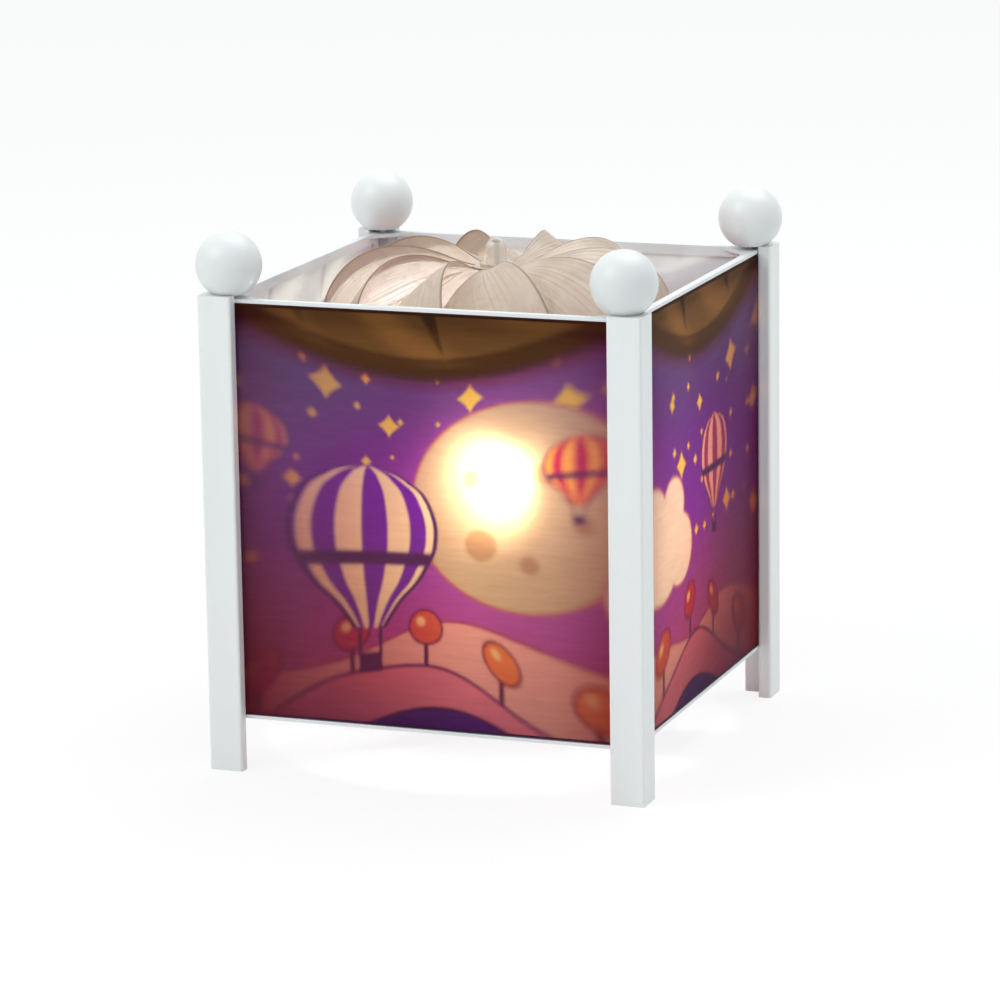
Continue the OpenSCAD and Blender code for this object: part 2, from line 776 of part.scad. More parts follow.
post(2);  // post_front_left
post(3);  // post_front_right
post(1);  // post_back_left
post(0);  // post_back_right
ball(2);  // ball_front_left
ball(3);  // ball_front_right
ball(1);  // ball_back_left
ball(0);  // ball_back_right
ball_screws();
post_screws();
top_frame();
bottom_frame();
upright(2);  // upright_front_left
upright(3);  // upright_front_right
upright(1);  // upright_back_left
upright(0);  // upright_back_right
panel(0);  // panel_front
panel(1);  // panel_right
panel(2);  // panel_back
panel(3);  // panel_left
bridge();
bridge_screws();
cord_grommet();
holder_nipple();
holder_nut();
holder_cap();
holder_core();
holder_skirt();
screw_shell();
centre_contact();
bulb_cap();
bulb_contact();
bulb_glass();
bulb_stem();
bulb_leads();
bulb_filament();
harp_saddle();
harp();
harp_ferrules();
needle_stud();
needle();
drum_film();
drum_top_hoop();
drum_bottom_hoop();
drum_seam();
turbine();
turbine_clamp();
bearing_cap();
bearing_cup();
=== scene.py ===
# %% [markdown]
# # A rotating motion lamp, dressed in Blender
# The CAD model gives every piece its true size and place. This script keeps those pieces and
# gives each one a finish. Only the turbine is modelled again, because it is soft bent film. The
# lamp is lit from inside, so that the printed drum throws its picture on the frosted panels.

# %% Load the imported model
import math

import bpy
from mathutils import Matrix, Vector


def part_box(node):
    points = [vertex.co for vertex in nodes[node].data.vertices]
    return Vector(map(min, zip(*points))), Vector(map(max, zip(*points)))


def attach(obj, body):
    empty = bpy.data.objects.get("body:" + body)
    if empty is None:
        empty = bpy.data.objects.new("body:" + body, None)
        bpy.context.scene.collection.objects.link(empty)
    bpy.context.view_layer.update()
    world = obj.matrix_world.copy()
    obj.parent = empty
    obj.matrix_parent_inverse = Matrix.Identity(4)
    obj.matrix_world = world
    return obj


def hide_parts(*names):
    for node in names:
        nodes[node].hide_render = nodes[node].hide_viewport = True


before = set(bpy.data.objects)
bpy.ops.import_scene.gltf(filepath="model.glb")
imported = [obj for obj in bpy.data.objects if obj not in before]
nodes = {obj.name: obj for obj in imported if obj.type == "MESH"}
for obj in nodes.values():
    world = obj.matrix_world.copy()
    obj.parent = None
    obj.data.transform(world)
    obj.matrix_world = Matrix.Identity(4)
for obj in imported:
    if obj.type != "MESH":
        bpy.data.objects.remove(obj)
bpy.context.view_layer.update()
MM = 0.001

# %% [markdown]
# ## The camera
# The photograph was taken from a good way off with a long lens, a little above the lamp and to
# its right. A long lens keeps the posts nearly parallel. The camera's three axes are worked out
# from two angles and a slight roll, which is easier to correct than a rotation typed by hand.

# %% Stand the camera where the photographer stood
azimuth = math.radians(20.294)
elevation = math.radians(12.693)
roll = math.radians(-0.842)
camera_distance = 1.61295
aim_height = 0.08429
long_lens = 163.07

back = Vector((math.sin(azimuth) * math.cos(elevation),
               -math.cos(azimuth) * math.cos(elevation),
               math.sin(elevation)))
level_right = Vector((math.cos(azimuth), math.sin(azimuth), 0))
level_up = back.cross(level_right)
right = math.cos(roll) * level_right + math.sin(roll) * level_up
up = math.cos(roll) * level_up - math.sin(roll) * level_right

bpy.ops.object.camera_add()
camera = bpy.context.object
camera.name = "photo_camera"
camera.data.lens = long_lens
camera.data.sensor_width = 36
camera.data.clip_start = 0.05
camera.matrix_world = (Matrix.Translation(Vector((0, 0, aim_height)) + camera_distance * back)
                       @ Matrix((right, up, back)).transposed().to_4x4())
bpy.context.scene.camera = camera
bpy.context.scene.view_settings.view_transform = "Standard"
print("camera at", [round(v, 3) for v in camera.matrix_world.translation])

# %% [markdown]
# ## Small helpers for shader nodes
# A material is a tree of nodes. Writing each node as one call, with its inputs given by name,
# keeps a long tree readable. A value may be a number, a colour or the output of another node.

# %% Node helpers
def put(tree, kind, inputs=None, **settings):
    """Adds a node, sets its options and fills or links its inputs. Returns the node."""
    node = tree.nodes.new(kind)
    for name, value in settings.items():
        setattr(node, name, value)
    for name, value in (inputs or {}).items():
        if isinstance(value, bpy.types.NodeSocket):
            tree.links.new(value, node.inputs[name])
        else:
            node.inputs[name].default_value = value
    return node


def sums(tree, operation, a, b=0.0, c=0.0, clamp=False):
    """One Math node. Returns its output."""
    return put(tree, "ShaderNodeMath", {0: a, 1: b, 2: c}, operation=operation,
               use_clamp=clamp).outputs[0]


def moved(tree, operation, a, b=(0, 0, 0), output=0):
    """One Vector Math node. Returns its output."""
    return put(tree, "ShaderNodeVectorMath", {0: a, 1: b}, operation=operation).outputs[output]


def blend_colours(tree, share, a, b, blend="MIX"):
    """One Mix node on colours: a where share is 0, b where it is 1. Returns its output."""
    node = put(tree, "ShaderNodeMix", data_type="RGBA", blend_type=blend)
    for socket, value in ((node.inputs[0], share), (node.inputs[6], a), (node.inputs[7], b)):
        if isinstance(value, bpy.types.NodeSocket):
            tree.links.new(value, socket)
        else:
            socket.default_value = value
    return node.outputs[2]


def paint(red, green, blue):
    """A colour as a picture shows it, from 0 to 255, made linear for a shader."""
    def linear(v):
        v /= 255
        return v / 12.92 if v <= 0.04045 else ((v + 0.055) / 1.055) ** 2.4
    return (linear(red), linear(green), linear(blue), 1.0)


def new_group(name, inputs, outputs):
    """A shader node group with named sockets. Returns its tree, input node and output node."""
    tree = bpy.data.node_groups.new(name, "ShaderNodeTree")
    for label, kind, value in inputs:
        socket = tree.interface.new_socket(label, in_out="INPUT", socket_type="NodeSocket" + kind)
        if value is not None:
            socket.default_value = value
    for label, kind in outputs:
        tree.interface.new_socket(label, in_out="OUTPUT", socket_type="NodeSocket" + kind)
    return tree, tree.nodes.new("NodeGroupInput"), tree.nodes.new("NodeGroupOutput")


def use_group(tree, group, inputs):
    """Places a node group in a material and fills its inputs. Returns the node."""
    node = tree.nodes.new("ShaderNodeGroup")
    node.node_tree = group
    for name, value in inputs.items():
        if isinstance(value, bpy.types.NodeSocket):
            tree.links.new(value, node.inputs[name])
        else:
            node.inputs[name].default_value = value
    return node


def new_material(name):
    """An empty node material. Returns it, its tree and its output node."""
    material = bpy.data.materials.new(name)
    material.use_nodes = True
    tree = material.node_tree
    tree.nodes.clear()
    return material, tree, tree.nodes.new("ShaderNodeOutputMaterial")


# %% [markdown]
# ## Fine surface
# Nothing made by hand or by machine is one flat colour. Paint pools a little, plastic has a
# faint pull, and a drawn wire has fine lines along it. One group makes all of these from two
# noises: a broad one that shifts the colour and a fine one for roughness and relief. Each
# material stretches it its own way.

# %% Build the fine surface group
fine_surface, g_in, g_out = new_group(
    "fine_surface",
    [("Position", "Vector", None), ("Colour", "Color", (0.8, 0.8, 0.8, 1)),
     ("Shade", "Color", (0.7, 0.7, 0.7, 1)), ("Patch Size", "Float", 0.03),
     ("Grain Size", "Float", 0.001), ("Roughness", "Float", 0.5), ("Spread", "Float", 0.1)],
    [("Colour", "Color"), ("Roughness", "Float"), ("Height", "Float")])
patches = put(fine_surface, "ShaderNodeTexNoise", {
    "Vector": g_in.outputs["Position"], "Detail": 3.0, "Roughness": 0.6,
    "Scale": sums(fine_surface, "DIVIDE", 1.0, g_in.outputs["Patch Size"])})
grains = put(fine_surface, "ShaderNodeTexNoise", {
    "Vector": g_in.outputs["Position"], "Detail": 4.0, "Roughness": 0.55,
    "Scale": sums(fine_surface, "DIVIDE", 1.0, g_in.outputs["Grain Size"])})
patch_share = put(fine_surface, "ShaderNodeMapRange", {
    "Value": patches.outputs[0], "From Min": 0.35, "From Max": 0.7}).outputs[0]
grain_middle = sums(fine_surface, "SUBTRACT", grains.outputs[0], 0.5)
rough_shift = sums(fine_surface, "MULTIPLY", grain_middle, g_in.outputs["Spread"])
rough_patch = sums(fine_surface, "MULTIPLY_ADD", patch_share, g_in.outputs["Spread"], rough_shift)
fine_surface.links.new(
    blend_colours(fine_surface, patch_share, g_in.outputs["Colour"], g_in.outputs["Shade"]),
    g_out.inputs["Colour"])
fine_surface.links.new(
    sums(fine_surface, "ADD", g_in.outputs["Roughness"], rough_patch, clamp=True),
    g_out.inputs["Roughness"])
fine_surface.links.new(grains.outputs[0], g_out.inputs["Height"])
print("fine_surface has", len(fine_surface.nodes), "nodes")

# %% [markdown]
# ## Solid finishes
# The posts and balls are painted wood, the cage is powder-coated sheet, and inside are steel,
# brass, moulded plastic, ceramic and rubber. They differ in colour, gloss and the direction of
# their grain, so one maker builds them all from a short list of named values.

# %% Make the solid finishes
def solid_finish(name, colour, shade, roughness, spread=0.12, patch=30, grain=1.0, relief=0.02,
                 stretch=(1, 1, 1), metallic=0.0, coat=0.0):
    """An opaque material. Sizes are in millimetres; stretch draws the grain out along an axis."""
    material, tree, out = new_material(name)
    position = put(tree, "ShaderNodeTexCoord").outputs["Object"]
    turned = put(tree, "ShaderNodeMapping", {"Vector": position, "Scale": stretch}).outputs[0]
    surface = use_group(tree, fine_surface, {
        "Position": turned, "Colour": colour, "Shade": shade, "Patch Size": patch * MM,
        "Grain Size": grain * MM, "Roughness": roughness, "Spread": spread})
    bump = put(tree, "ShaderNodeBump", {
        "Strength": 0.6, "Distance": relief * MM, "Height": surface.outputs["Height"]})
    shader = put(tree, "ShaderNodeBsdfPrincipled", {
        "Base Color": surface.outputs["Colour"], "Roughness": surface.outputs["Roughness"],
        "Normal": bump.outputs[0], "Metallic": metallic, "Coat Weight": coat,
        "Coat Roughness": 0.12})
    tree.links.new(shader.outputs[0], out.inputs["Surface"])
    return material


painted_wood = solid_finish(
    "painted_wood", paint(231, 234, 232), paint(224, 227, 226), 0.42, grain=2.2, relief=0.05,
    stretch=(1, 1, 0.08), coat=0.15)
turned_wood = solid_finish(
    "turned_wood", paint(224, 228, 227), paint(217, 221, 220), 0.38, grain=2.5, relief=0.04,
    stretch=(0.25, 0.25, 1), coat=0.2)
powder_coat = solid_finish(
    "powder_coat", paint(226, 230, 230), paint(216, 221, 222), 0.45, grain=0.5, relief=0.03)
zinc_sheet = solid_finish(
    "zinc_sheet", paint(176, 178, 180), paint(150, 153, 156), 0.42, patch=8, grain=0.6,
    metallic=1.0)
drawn_steel = solid_finish(
    "drawn_steel", paint(196, 196, 196), paint(172, 172, 174), 0.28, grain=0.3, metallic=1.0,
    stretch=(1, 1, 0.2))
lamp_brass = solid_finish(
    "lamp_brass", paint(214, 178, 98), paint(188, 148, 74), 0.3, patch=6, grain=0.5, metallic=1.0)
nickel_cap = solid_finish(
    "nickel_cap", paint(202, 198, 190), paint(182, 176, 166), 0.24, patch=5, grain=0.5,
    metallic=1.0)
cream_bakelite = solid_finish(
    "cream_bakelite", paint(232, 226, 208), paint(222, 214, 194), 0.3, grain=1.5, relief=0.02,
    coat=0.3)
white_ceramic = solid_finish(
    "white_ceramic", paint(234, 230, 220), paint(222, 216, 202), 0.62, patch=5, grain=0.4,
    relief=0.05)
black_rubber = solid_finish(
    "black_rubber", paint(40, 40, 42), paint(52, 52, 53), 0.75, patch=4, grain=0.4, relief=0.05)
black_glass = solid_finish(
    "black_glass", paint(26, 26, 32), paint(36, 34, 40), 0.15, patch=3, grain=1.0, coat=0.5)
print("made", len(bpy.data.materials), "materials so far")

# %% [markdown]
# ## Letting the lamp's light through
# Cycles asks one question for each lit point: can this point see the lamp? Glass and film would
# answer no, because a shadow ray does not bend or scatter. Light Path tells shadow rays apart
# from the others, so a surface can be glass to the eye and a tinted window to a shadow ray.

# %% A shader that lets lamps through
def lets_lamps_through(tree, shader, tint):
    """shader for what is seen, and a window of colour tint for shadow rays. Returns the mix."""
    window = put(tree, "ShaderNodeBsdfTransparent", {"Color": tint})
    is_shadow = put(tree, "ShaderNodeLightPath").outputs["Is Shadow Ray"]
    return put(tree, "ShaderNodeMixShader", {0: is_shadow, 1: shader, 2: window.outputs[0]}).outputs[0]


def window_tint(tree, colour, depth=1.0):
    """The tint of each of a film's two faces, so that light through both has the film's colour.
    A depth over 1 makes the ink denser."""
    return put(tree, "ShaderNodeGamma", {"Color": colour, "Gamma": depth / 2}).outputs[0]


# %% [markdown]
# ## The drum's picture
# The drum is a clear film with a picture printed on it, and the bulb throws that picture on the
# panels. The picture is drawn by formula, because then it is sharp at any size. Its place is the
# angle round the drum and the height, and each motif is a mask that lays one colour over what is
# under it. The moon, the cloud and the balloons go round the drum twice, the hills only once.

# %% Measure the drum and prepare the drawing surface
drum_low, drum_high = (corner.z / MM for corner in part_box("drum_film"))
drum_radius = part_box("drum_film")[1].x / MM
round_the_drum = 2 * math.pi * drum_radius
section = math.radians(180)
print("picture is", round(round_the_drum), "x", round(drum_high - drum_low), "mm")


class Picture:
    """A drawing made of nodes. Places are in millimetres on the unrolled film."""

    def __init__(self, tree, place, sky):
        self.tree = tree
        self.place = place
        self.colour = sky

    def lay(self, mask, colour):
        """Lays a colour over the drawing where mask is 1."""
        self.colour = blend_colours(self.tree, mask, self.colour, colour)

    def disc(self, x, y, radius, soft=0.5):
        """A mask for a round spot with an edge soft millimetres wide."""
        away = moved(self.tree, "DISTANCE", self.place, (x, y, 0), output=1)
        return sums(self.tree, "MULTIPLY_ADD", away, -1 / soft, radius / soft + 0.5, clamp=True)


def below(tree, height, level, soft=0.5):
    """A mask that is 1 where height is under level."""
    gap = sums(tree, "SUBTRACT", level, height)
    return sums(tree, "MULTIPLY_ADD", gap, 1 / soft, 0.5, clamp=True)


def ridge(tree, angle, level, *waves):
    """The height of a line of hills round the drum. Whole numbers of waves close up at the seam."""
    height = level
    for count, size, start in waves:
        wave = sums(tree, "SINE", sums(tree, "MULTIPLY_ADD", angle, count, start))
        height = sums(tree, "MULTIPLY_ADD", wave, size, height)
    return height


# %% [markdown]
# ### A hot-air balloon as a group
# The balloon's outline is a float curve that gives its half width at each height. Dividing the
# place across by that width and taking the arcsine wraps straight stripes round the envelope as
# gores. As a group it can be placed several times with its own size and colours.

# %% Build the balloon group
balloon, b_in, b_out = new_group(
    "balloon",
    [("Place", "Vector", None), ("Centre", "Vector", None), ("Size", "Float", 10.0),
     ("Backdrop", "Color", (0, 0, 0, 1)), ("Stripe", "Color", (1, 0, 0, 1)),
     ("Pale", "Color", (1, 1, 1, 1)), ("Line", "Color", (0.1, 0, 0.2, 1))],
    [("Colour", "Color")])
envelope_height = 2.35
from_centre = moved(balloon, "SUBTRACT", b_in.outputs["Place"], b_in.outputs["Centre"])
scaled = put(balloon, "ShaderNodeVectorMath", {
    0: from_centre, 3: sums(balloon, "DIVIDE", 1.0, b_in.outputs["Size"])}, operation="SCALE")
balloon_xyz = put(balloon, "ShaderNodeSeparateXYZ", {0: scaled.outputs[0]})
across, rise = balloon_xyz.outputs[0], balloon_xyz.outputs[1]
outline = put(balloon, "ShaderNodeFloatCurve", {
    "Value": sums(balloon, "DIVIDE", rise, envelope_height, clamp=True)})
half_widths = outline.mapping.curves[0]
half_widths.points[0].location = (0.0, 0.2)
half_widths.points[1].location = (1.0, 0.0)
for at, width in ((0.15, 0.42), (0.35, 0.8), (0.58, 1.0), (0.78, 0.9), (0.92, 0.58), (0.98, 0.25)):
    half_widths.points.new(at, width)
outline.mapping.update()
width_here = sums(balloon, "MULTIPLY_ADD", outline.outputs[0], 1.03, -0.03)
edge_gap = sums(balloon, "SUBTRACT", width_here, sums(balloon, "ABSOLUTE", across))
sharp = sums(balloon, "MULTIPLY", b_in.outputs["Size"], 2.0)
over_mouth = sums(balloon, "MULTIPLY", sums(balloon, "GREATER_THAN", rise, 0.0),
                  sums(balloon, "LESS_THAN", rise, envelope_height))
inside = sums(balloon, "MULTIPLY", sums(balloon, "MULTIPLY_ADD", edge_gap, sharp, 0.5, clamp=True),
              over_mouth)
outlined = sums(balloon, "MULTIPLY", over_mouth, sums(
    balloon, "MULTIPLY_ADD", sums(balloon, "ADD", edge_gap, 0.06), sharp, 0.5, clamp=True))
round_it = sums(balloon, "ARCSINE", sums(
    balloon, "DIVIDE", across, sums(balloon, "MAXIMUM", width_here, 0.05)))
gores = sums(balloon, "MULTIPLY_ADD", sums(balloon, "SINE", sums(
    balloon, "MULTIPLY_ADD", round_it, 8.0, 0.8)), 6.0, 0.5, clamp=True)
belt = sums(balloon, "MULTIPLY_ADD", sums(balloon, "ABSOLUTE", sums(
    balloon, "SUBTRACT", rise, 1.02)), -16.0, 2.0, clamp=True)
basket_x = sums(balloon, "LESS_THAN", sums(balloon, "ABSOLUTE", across), 0.17)
basket_y = sums(balloon, "LESS_THAN", sums(balloon, "ABSOLUTE", sums(
    balloon, "ADD", rise, 0.5)), 0.14)
rope_x = sums(balloon, "LESS_THAN", sums(balloon, "ABSOLUTE", sums(
    balloon, "SUBTRACT", sums(balloon, "ABSOLUTE", across), 0.15)), 0.025)
rope_y = sums(balloon, "LESS_THAN", sums(balloon, "ABSOLUTE", sums(
    balloon, "ADD", rise, 0.2)), 0.22)
hanging = sums(balloon, "MAXIMUM", sums(balloon, "MULTIPLY", basket_x, basket_y),
               sums(balloon, "MULTIPLY", rope_x, rope_y))
striped = blend_colours(balloon, gores, b_in.outputs["Pale"], b_in.outputs["Stripe"])
belted = blend_colours(balloon, belt, striped, b_in.outputs["Line"])
drawn = blend_colours(balloon, outlined, b_in.outputs["Backdrop"], b_in.outputs["Line"])
drawn = blend_colours(balloon, inside, drawn, belted)
drawn = blend_colours(balloon, hanging, drawn, b_in.outputs["Line"])
balloon.links.new(drawn, b_out.inputs["Colour"])
print("balloon has", len(balloon.nodes), "nodes")

# %% [markdown]
# ### The whole picture
# A violet sky with a large cream moon and gold sparkles, balloons, rose hills with round trees
# and a dark purple ground. The sparkles are scattered by a grid whose cells each nudge their own
# star by a random amount, which takes a few nodes however many stars there are. Last comes a
# darker and redder tint, strongest low down. It is placed so that at rest the left of the front
# panel is dark, and it turns with the drum.

# %% Draw the picture
drum_picture, p_in, p_out = new_group(
    "drum_picture", [("Position", "Vector", None)], [("Colour", "Color")])
t = drum_picture
film_xyz = put(t, "ShaderNodeSeparateXYZ", {0: p_in.outputs["Position"]})
bearing = sums(t, "ARCTAN2", film_xyz.outputs[1], film_xyz.outputs[0])
angle = sums(t, "ADD", bearing, math.radians(90))
in_section = sums(t, "WRAP", angle, section / 2, -section / 2)
height = sums(t, "MULTIPLY_ADD", film_xyz.outputs[2], 1 / MM, -drum_low)
place = put(t, "ShaderNodeCombineXYZ", {
    0: sums(t, "MULTIPLY", in_section, drum_radius), 1: height}).outputs[0]
whole_round = put(t, "ShaderNodeCombineXYZ", {
    0: sums(t, "MULTIPLY", angle, drum_radius), 1: height}).outputs[0]

sky = put(t, "ShaderNodeValToRGB", {0: sums(t, "DIVIDE", height, drum_high - drum_low)})
stops = sky.color_ramp.elements
stops[0].position, stops[0].color = 0.2, paint(220, 124, 176)
stops[1].position, stops[1].color = 1.0, paint(116, 42, 156)
middle_stop = stops.new(0.55)
middle_stop.color = paint(160, 62, 196)
picture = Picture(t, place, sky.outputs[0])


def scatter(cell_x, cell_y, seed, size, softness):
    """A mask of four-pointed sparkles, one in each cell of a grid, each nudged at random."""
    cell = (cell_x, cell_y, 1)
    grid = moved(t, "ADD", moved(t, "DIVIDE", whole_round, cell), (0, seed, 0))
    number = moved(t, "FLOOR", grid)
    nudge = put(t, "ShaderNodeTexWhiteNoise", {"Vector": moved(t, "ADD", number, (seed, 0, 0))})
    middle = moved(t, "MULTIPLY", moved(t, "ADD", nudge.outputs["Color"], (-0.5, -0.5, 0)),
                   (0.5, 0.5, 0))
    inside_cell = moved(t, "SUBTRACT", moved(t, "ADD", moved(t, "FRACTION", grid),
                                             (-0.5, -0.5, 0)), middle)
    reach = put(t, "ShaderNodeSeparateXYZ", {
        0: moved(t, "ABSOLUTE", moved(t, "MULTIPLY", inside_cell, cell))})
    star = sums(t, "ADD", sums(t, "POWER", reach.outputs[0], 0.75),
                sums(t, "POWER", reach.outputs[1], 0.75))
    own_size = sums(t, "MULTIPLY_ADD", nudge.outputs["Value"], 0.6 * size, 0.6 * size)
    return sums(t, "MULTIPLY_ADD", sums(t, "SUBTRACT", own_size, star), softness, 0.5, clamp=True)


moon_x, moon_y, moon_r = 25, 73, 28
halo_away = moved(t, "DISTANCE", place, (moon_x, moon_y, 0), output=1)
halo = sums(t, "POWER", sums(t, "MULTIPLY_ADD", halo_away, -1 / 52, 1.25, clamp=True), 2.5)
picture.lay(sums(t, "MULTIPLY", halo, 0.75), paint(240, 170, 222))
sparkle = sums(t, "MAXIMUM", scatter(round_the_drum / 18, 22, 3, 2.7, 2.5),
               scatter(round_the_drum / 30, 13, 8, 1.3, 2.5))
over_hills = sums(t, "GREATER_THAN", height, 52.0)
picture.lay(sums(t, "MULTIPLY", sparkle, over_hills), paint(255, 226, 50))
picture.lay(picture.disc(moon_x, moon_y, moon_r + 0.7), paint(216, 150, 130))
picture.lay(picture.disc(moon_x, moon_y, moon_r), paint(224, 204, 174))
for x, y, r in ((-8, -11, 4.5), (10, 9, 3.2), (5, -15, 2.4), (-10, 8, 2.6), (17, -4, 2.0)):
    picture.lay(picture.disc(moon_x + x, moon_y + y, r, soft=1.2), paint(206, 176, 138))
cloud = ((68, 58, 13), (55, 53, 9), (81, 55, 10), (62, 67, 8), (76, 68, 8))
for grown, colour in ((0.8, paint(214, 140, 160)), (0.0, paint(255, 238, 224))):
    for x, y, r in cloud:
        picture.lay(picture.disc(x, y, r + grown), colour)

far_hills = ridge(t, angle, 33, (3, 5, 0.4), (7, 2, 1.1))
near_hills = ridge(t, angle, 20, (4, 5, 2.2), (9, 1.2, 0.3))
ground = ridge(t, angle, 9, (5, 3, 1.0))
picture.lay(below(t, height, sums(t, "ADD", far_hills, 0.8)), paint(200, 110, 140))
picture.lay(below(t, height, far_hills), paint(250, 200, 190))
tree_step = math.radians(20)
tree_place = put(t, "ShaderNodeCombineXYZ", {
    0: sums(t, "MULTIPLY", sums(t, "WRAP", angle, tree_step / 2, -tree_step / 2), drum_radius),
    1: sums(t, "SUBTRACT", height, near_hills)}).outputs[0]
trees = Picture(t, tree_place, picture.colour)
tree_xyz = put(t, "ShaderNodeSeparateXYZ", {0: tree_place})
trunk = sums(t, "MULTIPLY", sums(t, "LESS_THAN", sums(t, "ABSOLUTE", tree_xyz.outputs[0]), 0.7),
             sums(t, "LESS_THAN", tree_xyz.outputs[1], 9.0))
trees.lay(trunk, paint(120, 40, 90))
trees.lay(trees.disc(0, 12, 5.4), paint(140, 30, 80))
tree_hue = sums(t, "MULTIPLY_ADD", sums(t, "SINE", sums(t, "MULTIPLY", angle, 3.0)), 0.5, 0.5)
trees.lay(trees.disc(0, 12, 4.8), blend_colours(t, tree_hue, paint(214, 60, 70), paint(250, 170, 80)))
trees.lay(trees.disc(-1.5, 13.6, 1.4, soft=1.0), paint(255, 220, 170))
picture.colour = trees.colour
picture.lay(below(t, height, sums(t, "ADD", near_hills, 0.8)), paint(120, 30, 120))
picture.lay(below(t, height, near_hills), paint(244, 166, 178))
picture.lay(below(t, height, sums(t, "ADD", ground, 0.8)), paint(60, 16, 90))
picture.lay(below(t, height, ground), paint(104, 40, 160))

for x, y, size, stripe, pale in (
        (-17, 36, 20, paint(150, 60, 200), paint(255, 236, 206)),
        (41, 74, 7.0, paint(220, 50, 90), paint(255, 200, 60)),
        (-44, 77, 6.5, paint(214, 90, 130), paint(250, 204, 90)),
        (-88, 60, 12, paint(186, 90, 110), paint(244, 206, 190))):
    drawn = use_group(t, balloon, {
        "Place": place, "Centre": (x, y, 0), "Size": size, "Backdrop": picture.colour,
        "Stripe": stripe, "Pale": pale, "Line": paint(96, 24, 110)})
    picture.colour = drawn.outputs[0]
darker_tint_share = sums(t, "MULTIPLY_ADD", sums(t, "COSINE", sums(
    t, "MULTIPLY_ADD", angle, 2.0, math.radians(106))), 0.6, 0.4, clamp=True)
low_darker_tint_share = sums(t, "MULTIPLY", darker_tint_share, sums(t, "MULTIPLY_ADD", height, -0.006, 1.0))
dimmed = blend_colours(t, 1.0, picture.colour, paint(160, 80, 86), blend="MULTIPLY")
t.links.new(blend_colours(t, low_darker_tint_share, picture.colour, dimmed), p_out.inputs["Colour"])
print("drum_picture has", len(t.nodes), "nodes")

# %% [markdown]
# ## Translucent finishes
# A frosted panel scatters the light that falls on its back, which is what makes the picture
# visible. Translucent is the shader for that: it is lit from behind as a matt surface is lit from
# the front. Two rough refractions beside it carry more of the light straight on, as ground glass
# does, and a very small share of a sharper third one makes the bulb's glow. The panel's outer face
# is smoky with little gloss, so that the room's light does not wash the picture out. Its smoky tinge
# is painted light, a dim copy of the colours the lamp throws. A painted shade makes it darker
# and redder toward the side edges and low down. Its inner face is white.

# %% The printed film
def object_place(tree):
    return put(tree, "ShaderNodeTexCoord").outputs["Object"]


printed_film, tree, out = new_material("printed_film")
film_colour = use_group(tree, drum_picture, {"Position": object_place(tree)}).outputs["Colour"]
ink = put(tree, "ShaderNodeTexNoise", {"Vector": object_place(tree), "Scale": 900.0, "Detail": 2.0})
ink_colour = blend_colours(
    tree, sums(tree, "MULTIPLY_ADD", ink.outputs[0], 0.3, -0.05, clamp=True), film_colour,
    paint(60, 30, 80))
film_rough = sums(tree, "MULTIPLY_ADD", ink.outputs[0], 0.12, 0.26)
film_face = put(tree, "ShaderNodeBsdfPrincipled", {"Base Color": ink_colour, "Roughness": film_rough})
film_back = put(tree, "ShaderNodeBsdfTranslucent", {"Color": ink_colour})
film_mix = put(tree, "ShaderNodeMixShader", {0: 0.5, 1: film_face.outputs[0], 2: film_back.outputs[0]})
tree.links.new(lets_lamps_through(tree, film_mix.outputs[0], window_tint(tree, film_colour, 1.6)),
               out.inputs["Surface"])

# %% The cream film of the turbine, the hoops and the seam
def cream_film_finish(name, window, streak_window, cut_edges=False):
    """Thin cream plastic film. Each of its faces tints a shadow ray with window, as where two
    petals overlap, and with the paler streak_window in slanting streaks between, ten to a turn."""
    material, tree, out = new_material(name)
    position = object_place(tree)
    surface = use_group(tree, fine_surface, {
        "Position": position, "Colour": paint(212, 196, 179), "Shade": paint(196, 178, 160),
        "Patch Size": 18 * MM, "Grain Size": 1.2 * MM, "Roughness": 0.3, "Spread": 0.16})
    film_tone = surface.outputs["Colour"]
    wrinkles = put(tree, "ShaderNodeTexNoise", {
        "Vector": position, "Scale": 55.0, "Detail": 3.0, "Distortion": 1.2}).outputs[0]
    if cut_edges:
        across = put(tree, "ShaderNodeSeparateXYZ", {0: put(tree, "ShaderNodeTexCoord").outputs["UV"]})
        creases = put(tree, "ShaderNodeTexNoise", {"Scale": 1.0, "Detail": 2.0, "Vector": put(
            tree, "ShaderNodeMapping", {"Vector": across.outputs["Y"], "Scale": (9, 9, 9)}).outputs[0]})
        wrinkles = sums(tree, "MULTIPLY_ADD", creases.outputs[0], 0.8, wrinkles)
        # A thin band along each petal's long edges is painted darker
        from_middle = sums(tree, "ABSOLUTE", sums(tree, "MULTIPLY_ADD", across.outputs["Y"], 2.0, -1.0))
        at_edge = put(tree, "ShaderNodeMapRange", {
            "Value": from_middle, "From Min": 0.955, "From Max": 0.985}).outputs[0]
        film_tone = blend_colours(tree, at_edge, film_tone, paint(160, 136, 116))
    bump = put(tree, "ShaderNodeBump", {
        "Strength": 0.8, "Distance": 1.6 * MM, "Height": wrinkles})
    face = put(tree, "ShaderNodeBsdfPrincipled", {
        "Base Color": film_tone, "Roughness": surface.outputs["Roughness"],
        "Normal": bump.outputs[0]})
    behind = put(tree, "ShaderNodeBsdfTranslucent", {"Color": film_tone, "Normal": bump.outputs[0]})
    film = put(tree, "ShaderNodeMixShader", {0: 0.12, 1: face.outputs[0], 2: behind.outputs[0]})
    place_xyz = put(tree, "ShaderNodeSeparateXYZ", {0: position})
    turn = sums(tree, "ARCTAN2", place_xyz.outputs[1], place_xyz.outputs[0])
    slant = sums(tree, "MULTIPLY_ADD", place_xyz.outputs[2], 0.3 / MM, sums(tree, "MULTIPLY", turn, 10.0))
    streak = sums(tree, "MULTIPLY_ADD", sums(tree, "SINE", slant), 0.8, 0.3, clamp=True)
    tint = blend_colours(tree, streak, window, streak_window)
    tree.links.new(lets_lamps_through(tree, film.outputs[0], tint), out.inputs["Surface"])
    return material


